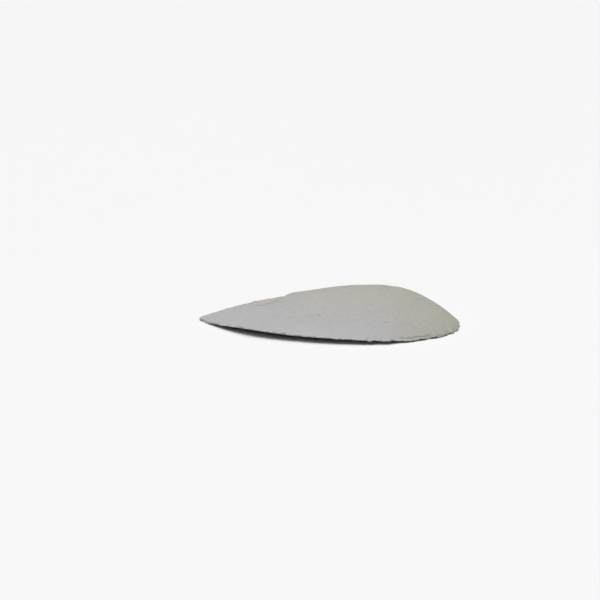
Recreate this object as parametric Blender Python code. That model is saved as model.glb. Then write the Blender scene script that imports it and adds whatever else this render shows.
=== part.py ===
"""A metatarsal pad: one teardrop dome of foam, flat below, with a thin skived rim.

The pointed tip is at -X and the broad end at +X. The origin is on the flat glue face,
under the middle of the outline. Sizes are in metres.
"""

import math

import bmesh
import bpy
from mathutils import Vector

MM = 0.001

# Outline, seen from above: more fullness squares a half, more pointedness sharpens its end
LENGTH = 70.0 * MM
WIDTH = 43.0 * MM
WIDEST_FROM_TIP = 44.0 * MM
TIP_FULLNESS = 2.35
TIP_POINTEDNESS = 0.87
END_FULLNESS = 2.0
END_POINTEDNESS = 0.6

# Dome: a long ramp from the tip up to the crest, and a steeper fall to the broad end
HEIGHT = 9.7 * MM
CREST_FROM_TIP = 48.0 * MM
RAMP_ROUNDING = 25.0 * MM
FALL_ROUNDING = 45.0 * MM
RIM_THICKNESS = 0.4 * MM

# Rim, whose thin band curls up: the near side's whole length, the far side beside the tip
RIM_BAND = 7.0 * MM
TIP_CURL = 0.3 * MM
NEAR_CURL = 1.8 * MM
NEAR_CURL_TOP = 17.0 * MM
NEAR_CURL_EASE = 1
FAR_CURL = 1.65 * MM
FAR_CURL_TOP = 22.0 * MM
FAR_CURL_END = 44.0 * MM
FAR_CURL_EASE = 2

# Hollow in the far flank, between the ridge and the curled rim, as a share of the dome there
HOLLOW_FROM_TIP = 17.5 * MM
HOLLOW_ACROSS = 7.5 * MM
HOLLOW_LENGTH = 14.4 * MM
HOLLOW_WIDTH = 19.6 * MM
HOLLOW_SHARE = 0.42

# Mesh
CELLS_ACROSS = 44
CURL_RINGS = 5
SHARP_EDGE = math.radians(40.0)

FOAM_COLOUR = (0.445, 0.44, 0.415, 1.0)
FOAM_ROUGHNESS = 0.92

TIP_X = -LENGTH / 2
BROAD_END_X = LENGTH / 2
WIDEST_X = TIP_X + WIDEST_FROM_TIP
CREST = Vector((TIP_X + CREST_FROM_TIP, 0.0))


def clear_scene():
    for old in list(bpy.data.objects):
        bpy.data.objects.remove(old, do_unlink=True)


def half_outline(broad):
    """The broad or the pointed half: its reach from the widest place, fullness, pointedness."""
    if broad:
        return BROAD_END_X - WIDEST_X, END_FULLNESS, END_POINTEDNESS
    return WIDEST_X - TIP_X, TIP_FULLNESS, TIP_POINTEDNESS


def half_width(x):
    """Half the pad's width at a place along it."""
    reach, fullness, pointedness = half_outline(x > WIDEST_X)
    along = min(abs(x - WIDEST_X) / reach, 1.0)
    return WIDTH / 2 * (1.0 - along**fullness) ** pointedness


def outline(turn):
    """The rim's place at an angle that runs from the broad end round by +Y to the tip."""
    along = math.cos(turn)
    across = math.sin(turn)
    reach, fullness, pointedness = half_outline(along > 0)
    x = math.copysign(reach * abs(along) ** (2.0 / fullness), along)
    y = math.copysign(WIDTH / 2 * abs(across) ** (2.0 * pointedness), across)
    return Vector((WIDEST_X + x, y))


def eased(share):
    """A share from 0 to 1, eased at both ends."""
    return share * share * (3.0 - 2.0 * share)


def curl(from_tip, height, top, end, ease):
    """Height of a curl that rises from the tip's own to its top, and is 0 from its end on."""
    if from_tip < top:
        return TIP_CURL + (height - TIP_CURL) * eased(max(from_tip, 0.0) / top)
    fall = min((from_tip - top) / (end - top), 1.0)
    return height * math.cos(math.pi / 2 * fall) ** ease


def rim_curl(rim):
    """How far the rim stands up at a place on the outline."""
    from_tip = rim.x - TIP_X
    if rim.y < 0:
        return curl(from_tip, NEAR_CURL, NEAR_CURL_TOP, LENGTH, NEAR_CURL_EASE)
    return curl(from_tip, FAR_CURL, FAR_CURL_TOP, FAR_CURL_END, FAR_CURL_EASE)


def band_start(rim):
    """Where the curled band begins, as a share of the way from the crest to the rim."""
    return 1.0 - RIM_BAND / (rim - CREST).length


def underside(share, rim):
    """Height of the underside, which is flat up to the curled band."""
    start = band_start(rim)
    into_band = max(0.0, (share - start) / (1.0 - start))
    return rim_curl(rim) * into_band**2


def ridge_share(x):
    """Height of the ridge at a place along the pad, 1 at the crest and 0 at the two ends."""
    rounding = FALL_ROUNDING if x > CREST.x else RAMP_ROUNDING
    reach = BROAD_END_X - CREST.x if x > CREST.x else CREST.x - TIP_X
    fall = math.hypot(x - CREST.x, rounding) - rounding
    return 1.0 - fall / (math.hypot(reach, rounding) - rounding)


def hollow_share(place):
    """Share of the dome that the far flank's hollow takes, an oval whose edge eases out."""
    along = (place.x - TIP_X - HOLLOW_FROM_TIP) / (HOLLOW_LENGTH / 2)
    across = (place.y - HOLLOW_ACROSS) / (HOLLOW_WIDTH / 2)
    return HOLLOW_SHARE * eased(max(1.0 - math.hypot(along, across), 0.0))


def foam_thickness(place):
    """Thickness of the foam: the ridge falls away to both sides as a parabola."""
    half = max(half_width(place.x), abs(place.y))
    across = place.y / half if half else 0.0
    dome = (HEIGHT - RIM_THICKNESS) * ridge_share(place.x) * (1.0 - across**2)
    return RIM_THICKNESS + dome * (1.0 - hollow_share(place))


def surface_point(share, turn, on_top):
    rim = outline(turn)
    place = CREST.lerp(rim, share)
    z = underside(share, rim)
    if on_top:
        z += foam_thickness(place)
    return Vector((place.x, place.y, z))


def share_and_turn(u, v):
    """Polar place of a point of the square from -1 to 1, whose rings are square."""
    quarter = math.pi / 4
    if abs(u) >= abs(v):
        share = abs(u)
        turn = quarter * v / u if share else 0.0
        return share, turn if u >= 0 else turn + math.pi
    share = abs(v)
    turn = math.pi / 2 - quarter * u / v
    return share, turn if v > 0 else turn + math.pi


def boundary(mesh):
    return [edge for edge in mesh.edges if edge.is_boundary]


def pad_mesh():
    mesh = bmesh.new()
    turn_of = mesh.verts.layers.float.new("turn")
    bmesh.ops.create_grid(mesh, x_segments=CELLS_ACROSS, y_segments=CELLS_ACROSS, size=1.0)
    for vert in mesh.verts:
        share, turn = share_and_turn(vert.co.x, vert.co.y)
        vert[turn_of] = turn
        vert.co = surface_point(share, turn, on_top=True)
    for ring in range(CURL_RINGS + 1):
        made = bmesh.ops.extrude_edge_only(mesh, edges=boundary(mesh))["geom"]
        for vert in (item for item in made if isinstance(item, bmesh.types.BMVert)):
            start = band_start(outline(vert[turn_of]))
            share = 1.0 + (start - 1.0) * ring / CURL_RINGS
            vert.co = surface_point(share, vert[turn_of], on_top=False)
    bmesh.ops.contextual_create(mesh, geom=boundary(mesh))
    bmesh.ops.recalc_face_normals(mesh, faces=mesh.faces)
    return mesh


def foam():
    material = bpy.data.materials.new("foam")
    material.use_nodes = True
    shader = material.node_tree.nodes["Principled BSDF"]
    shader.inputs["Base Color"].default_value = FOAM_COLOUR
    shader.inputs["Roughness"].default_value = FOAM_ROUGHNESS
    shader.inputs["Metallic"].default_value = 0.0
    return material


def add_pad():
    shape = pad_mesh()
    data = bpy.data.meshes.new("pad")
    shape.to_mesh(data)
    shape.free()
    data.shade_smooth()
    data.set_sharp_from_angle(angle=SHARP_EDGE)
    data.materials.append(foam())
    pad = bpy.data.objects.new("pad", data)
    bpy.context.collection.objects.link(pad)


def main():
    clear_scene()
    add_pad()


main()
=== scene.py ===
"""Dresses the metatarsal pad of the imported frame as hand-ground foam, on a pale studio floor.

The pad's tip is at -X and its broad end at +X. Its near side is at -Y. Sizes are in metres.
"""

import math

import bmesh
import bpy
from bpy.props import FloatProperty, FloatVectorProperty, IntProperty, PointerProperty
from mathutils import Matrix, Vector, noise


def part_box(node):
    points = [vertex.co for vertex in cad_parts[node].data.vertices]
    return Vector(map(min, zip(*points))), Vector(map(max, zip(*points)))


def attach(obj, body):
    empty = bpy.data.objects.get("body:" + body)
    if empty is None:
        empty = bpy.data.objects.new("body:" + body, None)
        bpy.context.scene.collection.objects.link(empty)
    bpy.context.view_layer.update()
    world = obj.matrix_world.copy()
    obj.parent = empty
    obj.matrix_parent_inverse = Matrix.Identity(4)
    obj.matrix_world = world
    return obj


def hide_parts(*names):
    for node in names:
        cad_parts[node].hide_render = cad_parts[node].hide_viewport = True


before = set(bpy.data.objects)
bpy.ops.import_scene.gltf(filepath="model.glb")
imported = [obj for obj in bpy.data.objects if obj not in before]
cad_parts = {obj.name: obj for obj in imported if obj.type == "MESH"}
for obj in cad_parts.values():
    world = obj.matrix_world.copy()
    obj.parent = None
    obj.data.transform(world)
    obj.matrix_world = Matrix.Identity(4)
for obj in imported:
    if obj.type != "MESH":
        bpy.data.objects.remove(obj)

bl_info = {
    "name": "Metatarsal pad",
    "version": (1, 0, 0),
    "blender": (4, 5, 0),
    "location": "View3D > Sidebar > Pad",
    "description": "Builds a ground foam metatarsal pad and a studio for it",
    "category": "Add Mesh",
}

MM = 0.001
CAMERA_TARGET = Vector((-7.8 * MM, 0.0, 6.0 * MM))

LOW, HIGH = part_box("pad")
TIP_X = LOW.x
LENGTH = HIGH.x - LOW.x
WIDTH = HIGH.y - LOW.y
HEIGHT = HIGH.z - LOW.z

# Dark marks on the dome: millimetres from the middle, rough half widths along and across, and
# how far each darkens the foam. The first four are specks and a dot; the last is a broad painted
# shade below the far crease
MARKS = (
    {"x": -2.0, "y": -12.7, "along": 0.2, "across": 0.3, "dark": 0.75},
    {"x": -8.9, "y": -9.9, "along": 0.18, "across": 0.3, "dark": 0.45},
    {"x": 15.5, "y": -15.4, "along": 0.45, "across": 0.25, "dark": 0.35},
    {"x": -12.8, "y": 0.9, "along": 0.25, "across": 0.5, "dark": 0.7},
    {"x": -14.0, "y": -3.0, "along": 4.5, "across": 2.4, "dark": 0.07},
)

# Low swellings and dents of the dome: millimetres from the middle, half widths, height
SWELLINGS = (
    {"x": -10.0, "y": 6.5, "along": 4.0, "across": 5.0, "height": 0.22},
    {"x": 4.6, "y": 1.0, "along": 1.6, "across": 6.0, "height": 0.2},
    {"x": 9.6, "y": 1.0, "along": 1.4, "across": 6.0, "height": 0.22},
    {"x": 13.4, "y": 1.0, "along": 2.6, "across": 6.0, "height": 0.34},
    {"x": 16.5, "y": 1.0, "along": 1.3, "across": 6.0, "height": -0.2},
    {"x": 23.0, "y": 2.5, "along": 8.0, "across": 9.0, "height": 0.34},
    {"x": 29.5, "y": 3.0, "along": 5.0, "across": 9.0, "height": 0.15},
)

# The crease where the far flank is skived flat, in millimetres from the middle, and how far
# its two ends take to fade
CREASE = (
    {"x": -21.5, "y": 1.4},
    {"x": -20.2, "y": 0.4},
    {"x": -17.6, "y": -0.8},
    {"x": -15.8, "y": -0.6},
    {"x": -13.4, "y": -0.1},
    {"x": -12.6, "y": 0.9},
)
CREASE_FADES = {"left": 2.5, "right": 1.5}

# Notches torn into the near rim from below: millimetres from the tip, half width, and the
# share of the rim's thickness that is gone
NOTCHES = (
    {"from_tip": 9.1, "reach": 0.6, "share": 0.7},
    {"from_tip": 13.5, "reach": 0.5, "share": 0.65},
    {"from_tip": 15.4, "reach": 0.5, "share": 0.65},
    {"from_tip": 20.4, "reach": 0.6, "share": 0.75},
    {"from_tip": 24.1, "reach": 1.0, "share": 1.0},
    {"from_tip": 28.2, "reach": 1.0, "share": 1.0},
    {"from_tip": 30.7, "reach": 0.5, "share": 0.65},
    {"from_tip": 32.6, "reach": 0.4, "share": 0.6},
    {"from_tip": 33.6, "reach": 0.4, "share": 0.6},
    {"from_tip": 34.7, "reach": 0.4, "share": 0.65},
    {"from_tip": 40.0, "reach": 0.4, "share": 0.6},
    {"from_tip": 40.8, "reach": 0.4, "share": 0.6},
    {"from_tip": 62.9, "reach": 0.45, "share": 1.0},
    {"from_tip": 65.2, "reach": 0.35, "share": 1.0},
    {"from_tip": 66.2, "reach": 0.35, "share": 1.0},
    {"from_tip": 68.6, "reach": 0.3, "share": 1.0},
)

# Most of the rim's thickness that a tear takes, and the least foam left between its two faces
MOST_TORN = 0.92
THINNEST = 0.06 * MM

# Places where the near rim stands out and up: millimetres from the tip, half width, how far
# out and up, and how far in from the rim it fades
LOBES = (
    {"from_tip": 14.0, "reach": 14.0, "out": 1.1, "up": 0.3, "inwards": 9.0},
    {"from_tip": 50.9, "reach": 2.0, "out": 0.35, "up": 0.0, "inwards": 2.0},
    {"from_tip": 57.9, "reach": 4.5, "out": 0.3, "up": 0.0, "inwards": 3.0},
    {"from_tip": 65.0, "reach": 6.5, "out": 1.5, "up": 0.0, "inwards": 10.0},
    {"from_tip": 68.6, "reach": 2.6, "out": 0.7, "up": 0.0, "inwards": 6.0},
)

# How far the lobes take, from the middle of the broad end and of the tip, to reach full size
LOBES_START = 7.0 * MM


def length(name, description, millimetres):
    """A length property, with its default in millimetres."""
    return FloatProperty(
        name=name,
        description=description,
        default=millimetres * MM,
        min=0.0,
        precision=5,
        unit="LENGTH",
    )


def amount(name, description, default, top=1.0):
    """A plain number property that starts at nothing."""
    return FloatProperty(name=name, description=description, default=default, min=0.0, max=top)


def colour(name, description, default):
    """A linear colour property."""
    return FloatVectorProperty(
        name=name,
        description=description,
        default=default,
        min=0.0,
        max=1.0,
        size=3,
        subtype="COLOR",
    )


class PadShape(bpy.types.PropertyGroup):
    """The pad's outline, dome and rim"""

    widest_from_tip: length("Widest from tip", "Where the outline is widest", 44.0)
    tip_fullness: amount("Tip fullness", "More squares the pointed half", 2.35, 6.0)
    tip_pointedness: amount("Tip pointedness", "More sharpens the tip", 0.87, 2.0)
    end_fullness: amount("End fullness", "More squares the broad half", 2.0, 6.0)
    end_pointedness: amount("End pointedness", "More sharpens the broad end", 0.6, 2.0)
    crest_from_tip: length("Crest from tip", "Where the dome is highest", 48.0)
    ramp_rounding: length("Ramp rounding", "How far the crest rounds into the ramp", 25.0)
    fall_rounding: length("Fall rounding", "How far the crest rounds to the broad end", 45.0)
    rim_thickness: length("Rim thickness", "Thickness of the skived rim", 0.4)
    rim_band: length("Rim band", "Width of the band that curls up", 7.0)
    undercut: amount("Undercut", "2 bows the band's underside, 1 leaves it straight", 1.25, 3.0)
    tip_curl: length("Tip curl", "How far the tip stands up", 0.3)
    tip_hem: length("Tip hem", "How far from the tip its thicker edge thins out", 5.0)
    near_curl: length("Near curl", "How far the near rim stands up at most", 1.8)
    near_curl_top: length("Near curl top", "Where the near rim stands highest", 17.0)
    near_fall: length("Near fall", "Where the near rim starts to lie down", 50.0)
    near_fall_ease: length("Near fall ease", "How far the near rim takes to lie down", 12.0)
    near_fall_share: amount("Near fall share", "Share of its curl that is then gone", 0.55)
    far_curl: length("Far curl", "How far the far rim stands up at most", 1.65)
    far_curl_top: length("Far curl top", "Where the far rim stands highest", 22.0)
    far_curl_end: length("Far curl end", "Where the far rim lies flat again", 44.0)
    hollow_from_tip: length("Hollow from tip", "Middle of the far flank's hollow", 17.5)
    hollow_across: length("Hollow across", "Middle of the hollow, to the far side", 7.5)
    hollow_length: length("Hollow length", "Length of the hollow", 14.4)
    hollow_width: length("Hollow width", "Width of the hollow", 19.6)
    hollow_share: amount("Hollow share", "Share of the dome that the hollow takes", 0.42)
    cells: IntProperty(name="Cells", description="Faces across the dome", default=280, min=8)


class FoamSurface(bpy.types.PropertyGroup):
    """How rough the ground foam and its skived rim are"""

    wave_depth: length("Wave depth", "Depth of the uneven grinding", 0.1)
    wave_size: length("Wave size", "Width of a wave of the grinding", 8.0)
    scuff_depth: length("Scuff depth", "Depth of the scuffs", 0.05)
    scuff_size: length("Scuff size", "Width of a scuff", 2.6)
    nap_depth: length("Nap depth", "Depth of the torn nap", 0.08)
    nap_size: length("Nap size", "Width of a tuft of the nap", 0.9)
    relief_fade: length("Relief fade", "How far in from the rim this relief is complete", 2.0)
    ragged_depth: length("Ragged depth", "How far the rim's edge strays sideways", 0.25)
    ragged_lift: length("Ragged lift", "How far the rim's edge strays up and down", 0.2)
    ragged_size: length("Ragged size", "Length of a stray of the rim's edge", 1.2)
    ragged_reach: length("Ragged reach", "How far in from the rim it is torn", 1.1)
    worse_from: length("Worse from", "Where the near rim turns more ragged, from the tip", 60.0)
    worse_share: amount("Worse", "How much more ragged it is there", 1.1, 3.0)
    tear_share: amount("Tears", "Share of the rim's thickness that small tears take", 1.5, 2.0)
    groove_from_rim: length("Groove from rim", "How far in the near lip's groove lies", 0.42)
    groove_reach: length("Groove reach", "Half the groove's width", 0.2)
    groove_depth: length("Groove depth", "Depth of the groove", 0.12)
    groove_start: length("Groove start", "Where the groove starts, from the tip", 53.6)
    groove_end: length("Groove end", "Where the groove ends, from the tip", 62.0)
    # Where the rim's cut edge is lighter cut foam with a painted highlight
    highlit_edge_start: length("Fresh start", "Where the cut edge starts to be light, from the tip", 4.0)
    highlit_edge_end: length("Fresh end", "Where the cut edge starts to be dull, from the tip", 58.0)
    crease_reach: length("Crease reach", "Half the width of the far flank's crease", 0.75)
    crease_depth: length("Crease depth", "Depth of the crease", 0.14)
    # Half the width of the painted shade beside the crease
    crease_shade: length("Crease shade", "Half the width of the dirt beside the crease", 1.5)


class FoamFinish(bpy.types.PropertyGroup):
    """The foam's colours, with painted light and shade, and grain"""

    # Painted cool light on the near side of the tip, and a painted warm reflection towards the
    # far broad end
    cool_lit_grey: colour("Cool grey", "Foam on the near side of the tip", (0.401, 0.394, 0.403))
    warm_bounce_grey: colour("Warm grey", "Foam on the far side of the broad end", (0.4, 0.398, 0.336))
    facet_grey: colour("Facet grey", "The far flank's skived facet", (0.42, 0.388, 0.362))
    # Lighter cut foam with a painted highlight along the rim's edge
    fresh_cut_and_highlight_grey: colour("Fresh grey", "Freshly cut foam on the rim's edge", (0.67, 0.635, 0.58))
    # Painted shade at the bottom of the near lip's groove
    groove_shade_grey: colour("Groove grey", "The bottom of the near lip's groove", (0.2, 0.185, 0.165))
    # The grey of the dark marks and of the painted shade in and beside the crease
    marks_and_shade_grey: colour("Pore grey", "The bottom of a pore", (0.2, 0.195, 0.185))
    drift_size: length("Drift size", "Width of a cloud where the two greys mix", 4.5)
    brightness: amount("Brightness", "How bright the foam is before all that follows", 0.782)
    mottle_size: length("Mottle size", "Width of a cloud of the mottle", 2.2)
    mottle: amount("Mottle", "How far the mottle brightens the foam", 0.12)
    grain_size: length("Grain size", "Width of a grain", 0.34)
    grain_depth: length("Grain depth", "Relief of the grain", 0.06)
    grain: amount("Grain", "How far the grain brightens the foam", 0.32)
    dark_specks: amount("Dark specks", "How far a dark speck dulls the foam", 0.16)
    light_specks: amount("Light specks", "How far a light speck brightens the foam", 0.12)
    # Painted shade on the crest
    crest_shaded: amount("Crest dulled", "How much duller the foam is at the crest", 0.045)
    # Painted light on the near flank
    near_flank_lit: amount("Flank lightened", "Brightening per metre down the flank", 2.6, 9.0)
    # Share of painted shade in the groove
    groove_shade_share: amount("Groove dirt", "Share of the groove's own grey", 0.6)
    # Share of painted shade in the crease
    crease_shade_share: amount("Crease dirt", "Share of the pores' grey in the crease", 0.5)
    roughness: amount("Roughness", "Roughness of the foam", 0.93)


class Studio(bpy.types.PropertyGroup):
    """The floor, the lights and the camera"""

    floor_colour: colour("Floor", "Colour of the floor", (0.8, 0.8, 0.8))
    floor_shade: colour("Floor shade", "The floor's slightly darker clouds", (0.79, 0.79, 0.79))
    floor_size: length("Floor size", "Half the floor's width", 6000.0)
    azimuth: FloatProperty(
        name="Azimuth",
        description="How far round the camera stands",
        default=math.radians(3.0),
        subtype="ANGLE",
    )
    elevation: FloatProperty(
        name="Elevation",
        description="How high the camera stands",
        default=math.radians(15.5),
        subtype="ANGLE",
    )
    distance: length("Distance", "From the camera to what it looks at", 600.0)
    lens: FloatProperty(name="Lens", description="Focal length", default=133.8, unit="CAMERA")
    key_strength: amount("Key", "Strength of the key light", 1.8, 20.0)
    top_strength: amount("Top", "Strength of the overhead light", 1.8, 20.0)
    sky_strength: amount("Sky", "Strength of the light from all round", 0.06, 5.0)


# Form of the dome


def eased(share):
    """A share from 0 to 1, eased at both ends."""
    share = min(max(share, 0.0), 1.0)
    return share * share * (3.0 - 2.0 * share)


def half_outline(shape, broad):
    """The broad or the pointed half: its reach from the widest place, fullness, pointedness."""
    if broad:
        return LENGTH - shape.widest_from_tip, shape.end_fullness, shape.end_pointedness
    return shape.widest_from_tip, shape.tip_fullness, shape.tip_pointedness


def half_width(shape, x):
    """Half the pad's width at a place along it."""
    from_widest = x - TIP_X - shape.widest_from_tip
    reach, fullness, pointedness = half_outline(shape, from_widest > 0)
    along = min(abs(from_widest) / reach, 1.0)
    return WIDTH / 2 * (1.0 - along**fullness) ** pointedness


def outline(shape, turn):
    """The rim's place at an angle that runs from the broad end round by +Y to the tip."""
    along = math.cos(turn)
    across = math.sin(turn)
    reach, fullness, pointedness = half_outline(shape, along > 0)
    x = math.copysign(reach * abs(along) ** (2.0 / fullness), along)
    y = math.copysign(WIDTH / 2 * abs(across) ** (2.0 * pointedness), across)
    return Vector((TIP_X + shape.widest_from_tip + x, y))


def curl(shape, from_tip, height, top, end, ease):
    """Height of a curl that rises from the tip's own to its top, and is 0 from its end on."""
    if from_tip < top:
        return shape.tip_curl + (height - shape.tip_curl) * eased(from_tip / top)
    fall = min((from_tip - top) / (end - top), 1.0)
    return height * math.cos(math.pi / 2 * fall) ** ease


def rim_curl(shape, rim):
    """How far the rim stands up at a place on the outline."""
    from_tip = rim.x - TIP_X
    if rim.y < 0:
        lying = shape.near_fall_share * eased((from_tip - shape.near_fall) / shape.near_fall_ease)
        top = shape.near_curl_top
        return (1.0 - lying) * curl(shape, from_tip, shape.near_curl, top, LENGTH, ease=1)
    top, end = shape.far_curl_top, shape.far_curl_end
    return curl(shape, from_tip, shape.far_curl, top, end, ease=2)


def ridge_share(shape, x):
    """Height of the ridge at a place along the pad, 1 at the crest and 0 at the two ends."""
    from_crest = x - TIP_X - shape.crest_from_tip
    beyond = from_crest > 0
    rounding = shape.fall_rounding if beyond else shape.ramp_rounding
    reach = LENGTH - shape.crest_from_tip if beyond else shape.crest_from_tip
    fall = math.hypot(from_crest, rounding) - rounding
    return 1.0 - fall / (math.hypot(reach, rounding) - rounding)


def into_hollow(shape, place):
    """1 in the middle of the far flank's hollow, eased to 0 at its edge."""
    along = (place.x - TIP_X - shape.hollow_from_tip) / (shape.hollow_length / 2)
    across = (place.y - shape.hollow_across) / (shape.hollow_width / 2)
    return eased(1.0 - math.hypot(along, across))


def foam_thickness(shape, place):
    """Thickness of the foam: the ridge falls away to both sides as a parabola."""
    half = max(half_width(shape, place.x), abs(place.y))
    across = place.y / half if half else 0.0
    dome = (HEIGHT - shape.rim_thickness) * ridge_share(shape, place.x) * (1.0 - across**2)
    return shape.rim_thickness + dome * (1.0 - shape.hollow_share * into_hollow(shape, place))


# Roughness of the ground foam


def wander(place, size, layer, octaves=1):
    """Smooth noise from about -1 to 1 with features of a size; layers differ."""
    spot = Vector((place.x / size, place.y / size, layer))
    return noise.fractal(spot, 1.0, 2.0, octaves)


def along_near_rim(rim, row):
    """1 at a row's place along the near rim, falling to 0 at its reach."""
    if rim.y > 0:
        return 0.0
    return 1.0 - abs((rim.x - TIP_X) / MM - row["from_tip"]) / row["reach"]


def rim_lobes(rim, from_rim):
    """How far the lobes move a place outwards and upwards."""
    out = 0.0
    up = 0.0
    near = eased(-rim.y / LOBES_START)
    for lobe in LOBES:
        share = near * eased(along_near_rim(rim, lobe))
        share *= eased(1.0 - from_rim / MM / lobe["inwards"])
        out += share * lobe["out"] * MM
        up += share * lobe["up"] * MM
    return out, up


def worse_torn(surface, rim):
    """How ragged the rim is: 1, and more on the near side by the broad end."""
    fade = 3.0 * MM
    by_end = eased((rim.x - TIP_X - surface.worse_from) / fade)
    return 1.0 + surface.worse_share * by_end * eased(-rim.y / fade)


def rim_stray(surface, rim):
    """How far the torn edge strays outwards at a place on the outline."""
    stray = surface.ragged_depth * wander(rim, surface.ragged_size, 3.0, octaves=4)
    return worse_torn(surface, rim) * stray


def rim_lift(surface, rim):
    """How far the edge strays up or down at a place on the outline."""
    lift = surface.ragged_lift * wander(rim, surface.ragged_size, 23.0, octaves=3)
    return worse_torn(surface, rim) * lift


def torn_share(surface, rim):
    """How much of the rim's thickness is torn away from below at a place on the outline."""
    torn = surface.tear_share * wander(rim, surface.ragged_size, 11.0, octaves=3)
    for notch in NOTCHES:
        torn = max(torn, notch["share"] * eased(1.5 * along_near_rim(rim, notch)))
    return min(max(torn, 0.0), MOST_TORN)


def fresh_cut_and_highlight(surface, rim):
    """How light the rim's cut edge is, as lighter cut foam with a painted highlight: it is duller
    at the tip and round the broad end.
    """
    from_tip = rim.x - TIP_X
    fade = 6.0 * MM
    started = eased((from_tip - surface.highlit_edge_start) / fade)
    ended = eased((from_tip - surface.highlit_edge_end) / fade)
    return (0.15 + 0.85 * started) * (1.0 - 0.8 * ended)


def tip_hem(shape, rim):
    """Share of the rim's lift that is kept: behind the sharp tip the foam reaches the floor."""
    from_tip = rim.x - TIP_X
    return max(eased(from_tip / shape.tip_hem), 1.0 - from_tip / (0.4 * shape.tip_hem))


def torn_from_below(shape, surface, rim):
    """How far tears raise the rim's lower edge."""
    raised = torn_share(surface, rim) * foam_thickness(shape, rim)
    return raised + min(rim_lift(surface, rim), 0.0)


def ground_relief(surface, place):
    """Height of the uneven grinding, the scuffs and the nap at a place on the dome."""
    wave = surface.wave_depth * wander(place, surface.wave_size, 0.0)
    scuff = surface.scuff_depth * wander(place, surface.scuff_size, 5.0, octaves=2)
    nap = surface.nap_depth * wander(place, surface.nap_size, 7.0, octaves=3)
    return wave + scuff + nap


def nearness(place, row):
    """1 at the middle of a row's oval and 0 at its edge."""
    along = (place.x / MM - row["x"]) / row["along"]
    across = (place.y / MM - row["y"]) / row["across"]
    return 1.0 - math.hypot(along, across)


def swelling(place):
    """Height of the low swellings and dents at a place on the dome."""
    return sum(row["height"] * MM * eased(nearness(place, row)) for row in SWELLINGS)


def beside_crease(place):
    """How far a place is to the far side of the crease, and how much of the crease is there."""
    x = place.x / MM
    y = place.y / MM
    within = eased((x - CREASE[0]["x"]) / CREASE_FADES["left"])
    within *= eased((CREASE[-1]["x"] - x) / CREASE_FADES["right"])
    for start, end in zip(CREASE, CREASE[1:]):
        if start["x"] <= x <= end["x"]:
            share = (x - start["x"]) / (end["x"] - start["x"])
            return (y - start["y"] - share * (end["y"] - start["y"])) * MM, within
    return -LENGTH, 0.0


def groove_at(surface, rim, from_rim):
    """How deep in the near lip's groove a place is, from 0 to 1."""
    if rim.y > 0:
        return 0.0
    from_tip = rim.x - TIP_X
    fade = 1.5 * MM
    within = eased((from_tip - surface.groove_start) / fade)
    within *= eased((surface.groove_end - from_tip) / fade)
    middle = surface.groove_from_rim * (1.0 + 0.25 * wander(rim, 2.0 * MM, 31.0))
    return within * eased(1.3 * (1.0 - abs(from_rim - middle) / surface.groove_reach))


# Mesh of the dome


def share_and_turn(u, v):
    """Polar place of a point of the square from -1 to 1, whose rings are square."""
    quarter = math.pi / 4
    if abs(u) >= abs(v):
        share = abs(u)
        turn = quarter * v / u if share else 0.0
        return share, turn if u >= 0 else turn + math.pi
    share = abs(v)
    turn = math.pi / 2 - quarter * u / v
    return share, turn if v > 0 else turn + math.pi


def tighter_at_rim(share):
    """The same share with its rings closer together towards the rim."""
    return share * (1.5 - 0.5 * share)


def dome_point(shape, surface, share, turn, top):
    """A point of the foam, between the crest and the rim, and what shows there.

    top is 1 on the dome, 0 on the underside and between on the rim's cut edge.
    """
    rim = outline(shape, turn)
    crest = Vector((TIP_X + shape.crest_from_tip, 0.0))
    ray = rim - crest
    from_rim = (1.0 - share) * ray.length
    place = crest + ray * share
    into_band = max(0.0, 1.0 - from_rim / shape.rim_band)
    stands = rim_curl(shape, rim)
    torn = eased(1.0 - from_rim / surface.ragged_reach)
    groove = groove_at(surface, rim, from_rim)
    beyond, within = beside_crease(place)
    crease = within * eased(1.0 - abs(beyond) / surface.crease_reach)
    shade = within * eased(1.2 - abs(beyond + surface.crease_reach) / surface.crease_shade)
    inner = eased(from_rim / surface.relief_fade)

    out, up = rim_lobes(rim, from_rim)
    high = stands * into_band**2 + foam_thickness(shape, place) + up
    high += inner * (ground_relief(surface, place) + swelling(place))
    high += torn * rim_lift(surface, rim)
    high -= groove * surface.groove_depth + crease * surface.crease_depth
    low = stands * into_band**shape.undercut + torn * torn_from_below(shape, surface, rim)
    low = max(low + up * into_band, 0.0) * tip_hem(shape, rim)
    high = max(high, low + THINNEST)

    place += ray.normalized() * (out + torn * rim_stray(surface, rim))
    # What the material paints: the cut edge's light, painted shade in the groove and in and
    # beside the crease, and the facet's grey
    looks = {
        "fresh_and_highlit": fresh_cut_and_highlight(surface, rim) if share == 1.0 else 0.0,
        "groove": groove * top,
        "crease": max(crease, 0.5 * shade) * top,
        "facet": within * eased(beyond / MM) * top,
    }
    return Vector((place.x, place.y, low + top * (high - low))), looks


def boundary(mesh):
    """The edges that have a face on one side only."""
    return [edge for edge in mesh.edges if edge.is_boundary]


LOOKS = ("fresh_and_highlit", "groove", "crease", "facet")
WALL_RINGS = 3
BAND_RINGS = 12


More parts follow.
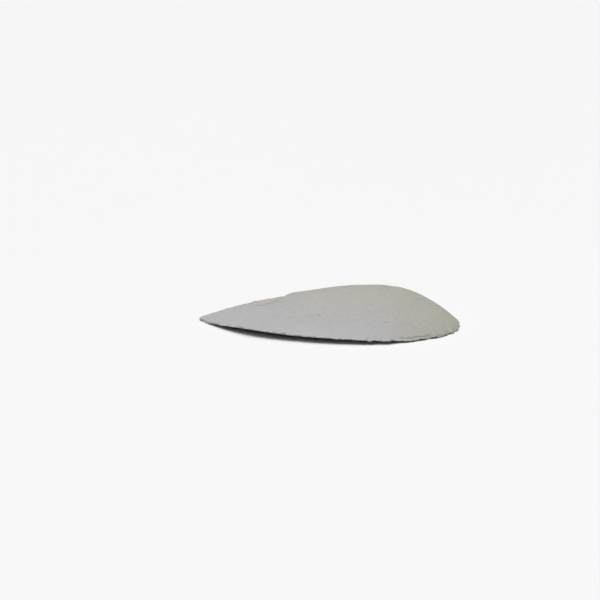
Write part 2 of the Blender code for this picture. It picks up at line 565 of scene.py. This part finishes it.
def foam_mesh(shape, surface):
    """The whole pad as one closed mesh, with a layer for each look that the material reads."""
    mesh = bmesh.new()
    layers = mesh.verts.layers.float
    turn_of = layers.new("turn")
    look_layers = {name: layers.new(name) for name in LOOKS}

    def place_vert(vert, share, turn, top):
        vert.co, looks = dome_point(shape, surface, share, turn, top)
        vert[turn_of] = turn
        for name, value in looks.items():
            vert[look_layers[name]] = value

    bmesh.ops.create_grid(mesh, x_segments=shape.cells, y_segments=shape.cells, size=1.0)
    for vert in mesh.verts:
        share, turn = share_and_turn(vert.co.x, vert.co.y)
        place_vert(vert, tighter_at_rim(share), turn, 1.0)

    rings = [(1.0 - ring / WALL_RINGS, 0.0) for ring in range(1, WALL_RINGS + 1)]
    rings += [(0.0, (ring / BAND_RINGS) ** 2) for ring in range(1, BAND_RINGS + 1)]
    crest = Vector((TIP_X + shape.crest_from_tip, 0.0))
    for top, inwards in rings:
        made = bmesh.ops.extrude_edge_only(mesh, edges=boundary(mesh))["geom"]
        for vert in (item for item in made if isinstance(item, bmesh.types.BMVert)):
            turn = vert[turn_of]
            reach = (outline(shape, turn) - crest).length
            share = 1.0 - inwards * shape.rim_band / reach
            place_vert(vert, share, turn, top)
    bmesh.ops.contextual_create(mesh, geom=boundary(mesh))
    bmesh.ops.recalc_face_normals(mesh, faces=mesh.faces)
    layers.remove(turn_of)
    return mesh


# Shader maths


class Value:
    """A shader socket that can be added, subtracted and multiplied."""

    def __init__(self, graph, socket):
        self.graph = graph
        self.socket = socket

    def __add__(self, other):
        return self.graph.math("ADD", self, other)

    def __sub__(self, other):
        return self.graph.math("SUBTRACT", self, other)

    def __mul__(self, other):
        return self.graph.math("MULTIPLY", self, other)

    def __radd__(self, other):
        return self.graph.math("ADD", other, self)

    def __rsub__(self, other):
        return self.graph.math("SUBTRACT", other, self)

    def __rmul__(self, other):
        return self.graph.math("MULTIPLY", other, self)


class Graph:
    """Adds nodes to a material or a world."""

    def __init__(self, tree):
        self.tree = tree

    def node(self, kind, settings, sockets):
        """A node of a kind, with its settings and the values or links of its sockets."""
        made = self.tree.nodes.new(kind)
        for name, setting in settings.items():
            setattr(made, name, setting)
        for name, value in sockets.items():
            if isinstance(value, Value):
                self.tree.links.new(value.socket, made.inputs[name])
            else:
                made.inputs[name].default_value = value
        return made

    def value(self, kind, settings, sockets, output):
        """The named output of a new node."""
        return Value(self, self.node(kind, settings, sockets).outputs[output])

    def math(self, operation, first, second):
        """One step of shader maths on two values."""
        settings = {"operation": operation}
        return self.value("ShaderNodeMath", settings, {0: first, 1: second}, 0)

    def step(self, value, start, end):
        """0 before the start, 1 after the end, and eased between them."""
        settings = {"interpolation_type": "SMOOTHSTEP"}
        sockets = {"Value": value, "From Min": start, "From Max": end}
        return self.value("ShaderNodeMapRange", settings, sockets, "Result")

    def mix(self, share, first, second):
        """From the first colour at share 0 to the second at share 1."""
        settings = {"data_type": "RGBA"}
        sockets = {"Factor": share, 6: first, 7: second}
        return self.value("ShaderNodeMix", settings, sockets, 2)

    def scaled(self, vector, factor):
        """A vector or a colour times a number."""
        settings = {"operation": "SCALE"}
        return self.value("ShaderNodeVectorMath", settings, {0: vector, "Scale": factor}, 0)

    def vector_math(self, operation, first, second, output):
        """One step of vector maths on two vectors."""
        settings = {"operation": operation}
        return self.value("ShaderNodeVectorMath", settings, {0: first, 1: second}, output)

    def along(self, place, axis):
        """A place's distance along the X, Y or Z axis."""
        return self.value("ShaderNodeSeparateXYZ", {}, {0: place}, axis)

    def painted(self, layer):
        """The value of one of the mesh's layers."""
        return self.value("ShaderNodeAttribute", {"attribute_name": layer}, {}, "Fac")

    def noise(self, place, size, detail):
        """Noise from 0 to 1 with features of a size."""
        sockets = {"Vector": place, "Scale": 1.0 / size, "Detail": detail, "Roughness": 0.6}
        return self.value("ShaderNodeTexNoise", {}, sockets, 0)

    def specks(self, place, spacing, radius, kept):
        """1 inside round specks of a radius; only a share of the cells has one."""
        sockets = {"Vector": place, "Scale": 1.0 / spacing}
        cells = self.node("ShaderNodeTexVoronoi", {}, sockets)
        distance = Value(self, cells.outputs["Distance"])
        cell_colour = Value(self, cells.outputs["Color"])
        chance = self.value("ShaderNodeSeparateColor", {}, {0: cell_colour}, 0)
        inside = 1.0 - self.step(distance, 0.5 * radius / spacing, radius / spacing)
        return inside * self.step(chance, 1.0 - kept, 1.0 - kept + 0.02)


def new_material(name):
    """An empty material, and the graph of its nodes."""
    material = bpy.data.materials.new(name)
    material.use_nodes = True
    material.node_tree.nodes.clear()
    return material, Graph(material.node_tree)


def surface_output(graph, shader):
    """Joins a shader node to the material's output."""
    graph.node("ShaderNodeOutputMaterial", {}, {"Surface": Value(graph, shader.outputs[0])})


def rgba(colour_value):
    """A colour with full opacity added."""
    return (*colour_value, 1.0)


def dark_marks(graph, place):
    """How dark the marks are at a place, the last of them painted shade; they show on the dome
    and not on the underside.
    """
    above = graph.step(graph.along(place, "Z"), 2.0 * MM, 2.5 * MM)
    marked = 0.0
    for row in MARKS:
        sizes = (1.0 / (row["along"] * MM), 1.0 / (row["across"] * MM), 0.0)
        middle = (row["x"] / row["along"], row["y"] / row["across"], 0.0)
        scaled = graph.vector_math("MULTIPLY", place, sizes, "Vector")
        away = graph.vector_math("DISTANCE", scaled, middle, "Value")
        marked = marked + row["dark"] * (1.0 - graph.step(away, 0.5, 1.6))
    return marked * above


def foam_tone(graph, place, finish):
    """The foam's grey, which drifts from painted cool light on the near side of the tip to a
    painted warm reflection at the far broad end, mixed along a random drift.
    """
    drift = 11.0 * MM * graph.noise(place, finish.drift_size, detail=2.0)
    way = 0.18 * graph.along(place, "X") + 0.35 * graph.along(place, "Y") + drift
    # The painted warm reflection grows towards the far side and the broad end, mixed along a
    # random drift
    bounce_warmth = graph.step(way, -2.5 * MM, 12.0 * MM)
    tone = graph.mix(bounce_warmth, rgba(finish.cool_lit_grey), rgba(finish.warm_bounce_grey))
    return graph.mix(0.85 * graph.painted("facet"), tone, rgba(finish.facet_grey))


def foam_brightness(graph, place, grain, finish):
    """How bright the foam is: painted shade on the crest, and painted light on the near flank's
    middle.
    """
    x = graph.along(place, "X")
    mottle = graph.noise(place, finish.mottle_size, detail=3.0)
    dark = graph.specks(place, spacing=1.0 * MM, radius=0.24 * MM, kept=0.4)
    light = graph.specks(place, spacing=0.85 * MM, radius=0.22 * MM, kept=0.4)
    # Painted shade on the crest and painted light down the near flank's middle
    crest = graph.step(graph.along(place, "Z"), 4.5 * MM, 9.5 * MM)
    midway = graph.step(x, -25.0 * MM, 0.0) * (1.0 - graph.step(x, 19.0 * MM, 26.0 * MM))
    down_near_flank = -5.0 * MM - graph.along(place, "Y")
    brightness = finish.brightness + finish.mottle * mottle + finish.grain * grain
    brightness = brightness - finish.dark_specks * dark + finish.light_specks * light
    brightness = brightness - finish.crest_shaded * crest
    return brightness + finish.near_flank_lit * midway * down_near_flank


def foam_material(finish):
    """Matte ground foam: two greys that drift with painted cool light and a painted warm
    reflection, its marks, a mottle, a fine grain and specks, with a painted highlight on the cut
    edge and painted shade in the groove and crease.
    """
    material, graph = new_material("ground_foam")
    place = graph.value("ShaderNodeTexCoord", {}, {}, "Object")
    grain = graph.noise(place, finish.grain_size, detail=3.0)
    brightness = foam_brightness(graph, place, grain, finish)
    foam = graph.scaled(foam_tone(graph, place, finish), brightness)

    # The rim's cut edge: lighter cut foam with a painted highlight
    frayed = graph.noise(place, 0.9 * MM, detail=2.0)
    fresh_and_highlit = graph.painted("fresh_and_highlit") * graph.step(frayed, 0.25, 0.55)
    foam = graph.mix(fresh_and_highlit, foam, rgba(finish.fresh_cut_and_highlight_grey))
    # Painted shade in the near lip's groove
    foam = graph.mix(finish.groove_shade_share * graph.painted("groove"), foam, rgba(finish.groove_shade_grey))
    # Painted shade in and beside the far flank's crease
    foam = graph.mix(finish.crease_shade_share * graph.painted("crease"), foam, rgba(finish.marks_and_shade_grey))
    # Dark marks, the last of them a broad painted shade below the crease
    foam = graph.mix(dark_marks(graph, place), foam, rgba(finish.marks_and_shade_grey))

    pores = graph.specks(place, spacing=0.55 * MM, radius=0.2 * MM, kept=0.6)
    tufts = graph.noise(place, 3.0 * finish.grain_size, detail=2.0)
    height = grain + 0.5 * tufts - 0.5 * pores
    sockets = {"Height": height, "Distance": finish.grain_depth, "Strength": 1.0}
    normal = graph.value("ShaderNodeBump", {}, sockets, "Normal")
    shader = graph.node(
        "ShaderNodeBsdfPrincipled",
        {},
        {
            "Base Color": foam,
            "Roughness": finish.roughness - 0.06 + 0.1 * grain,
            "Specular IOR Level": 0.25,
            "Normal": normal,
        },
    )
    surface_output(graph, shader)
    return material


def floor_material(studio):
    """Plain pale paper, with a faint unevenness."""
    material, graph = new_material("studio_floor")
    place = graph.value("ShaderNodeTexCoord", {}, {}, "Object")
    cloud = graph.noise(place, 250.0 * MM, detail=2.0)
    shader = graph.node(
        "ShaderNodeBsdfPrincipled",
        {},
        {
            "Base Color": graph.mix(cloud, rgba(studio.floor_colour), rgba(studio.floor_shade)),
            "Roughness": 0.9,
            "Specular IOR Level": 0.1,
        },
    )
    surface_output(graph, shader)
    return material


# Operators


def finished_object(name, mesh, material):
    """A smooth object of a finished bmesh, at the origin."""
    data = bpy.data.meshes.new(name)
    mesh.to_mesh(data)
    mesh.free()
    data.shade_smooth()
    data.materials.append(material)
    made = bpy.data.objects.new(name, data)
    bpy.context.scene.collection.objects.link(made)
    return made


class PAD_OT_foam(bpy.types.Operator):
    """Builds the foam pad, which stands for the frame's plain solid"""

    bl_idname = "pad.foam"
    bl_label = "Foam pad"

    def execute(self, context):
        scene = context.scene
        mesh = foam_mesh(scene.pad_shape, scene.foam_surface)
        if boundary(mesh):
            raise RuntimeError("the foam pad's mesh is open")
        pad = finished_object("pad_foam", mesh, foam_material(scene.foam_finish))
        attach(pad, "root")
        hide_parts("pad")
        return {"FINISHED"}


def add_sun(name, strength, direction, spread):
    """A soft light from far away, shining from a direction."""
    light = bpy.data.lights.new(name, "SUN")
    light.energy = strength
    light.angle = math.radians(spread)
    lamp = bpy.data.objects.new(name, light)
    lamp.rotation_mode = "QUATERNION"
    lamp.rotation_quaternion = Vector(direction).to_track_quat("Z", "Y")
    bpy.context.scene.collection.objects.link(lamp)


def light_sky(studio):
    """A faint light from all round, which the camera sees as white."""
    world = bpy.data.worlds.new("studio_sky")
    world.use_nodes = True
    world.node_tree.nodes.clear()
    graph = Graph(world.node_tree)
    seen = graph.value("ShaderNodeLightPath", {}, {}, "Is Camera Ray")
    strength = studio.sky_strength + (1.0 - studio.sky_strength) * seen
    sockets = {"Color": (1.0, 1.0, 1.0, 1.0), "Strength": strength}
    sky = graph.node("ShaderNodeBackground", {}, sockets)
    graph.node("ShaderNodeOutputWorld", {}, {"Surface": Value(graph, sky.outputs[0])})
    bpy.context.scene.world = world


class PAD_OT_stage(bpy.types.Operator):
    """Adds the floor, the lights and the camera"""

    bl_idname = "pad.stage"
    bl_label = "Studio"

    def execute(self, context):
        studio = context.scene.pad_studio
        mesh = bmesh.new()
        bmesh.ops.create_grid(mesh, x_segments=1, y_segments=1, size=studio.floor_size)
        floor = finished_object("floor", mesh, floor_material(studio))
        add_sun("key", studio.key_strength, (-0.22, -0.14, 0.95), 50.0)
        add_sun("overhead", studio.top_strength, (0.0, 0.05, 1.0), 90.0)
        light_sky(studio)

        level = math.cos(studio.elevation)
        back = Vector(
            (
                math.sin(studio.azimuth) * level,
                -math.cos(studio.azimuth) * level,
                math.sin(studio.elevation),
            )
        )
        lens = bpy.data.cameras.new("camera")
        lens.lens = studio.lens
        lens.clip_start = 0.01
        camera = bpy.data.objects.new("camera", lens)
        camera.location = CAMERA_TARGET + studio.distance * back
        camera.rotation_mode = "QUATERNION"
        camera.rotation_quaternion = back.to_track_quat("Z", "Y")
        context.scene.collection.objects.link(camera)
        context.scene.camera = camera
        context.scene.view_settings.view_transform = "Standard"
        return {"FINISHED"}


class PAD_PT_panel(bpy.types.Panel):
    """Lists the pad's operators and values"""

    bl_idname = "PAD_PT_panel"
    bl_label = "Metatarsal pad"
    bl_space_type = "VIEW_3D"
    bl_region_type = "UI"
    bl_category = "Pad"

    def draw(self, context):
        layout = self.layout
        layout.operator(PAD_OT_foam.bl_idname)
        layout.operator(PAD_OT_stage.bl_idname)
        for group in GROUPS:
            values = getattr(context.scene, group)
            for name in values.__annotations__:
                layout.prop(values, name)


GROUPS = {
    "pad_shape": PadShape,
    "foam_surface": FoamSurface,
    "foam_finish": FoamFinish,
    "pad_studio": Studio,
}
CLASSES = (*GROUPS.values(), PAD_OT_foam, PAD_OT_stage, PAD_PT_panel)


def register():
    for part in CLASSES:
        bpy.utils.register_class(part)
    for name, group in GROUPS.items():
        setattr(bpy.types.Scene, name, PointerProperty(type=group))


def unregister():
    for name in GROUPS:
        delattr(bpy.types.Scene, name)
    for part in reversed(CLASSES):
        bpy.utils.unregister_class(part)


def main():
    register()
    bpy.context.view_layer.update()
    bpy.ops.pad.foam()
    bpy.ops.pad.stage()


if __name__ == "__main__":
    main()
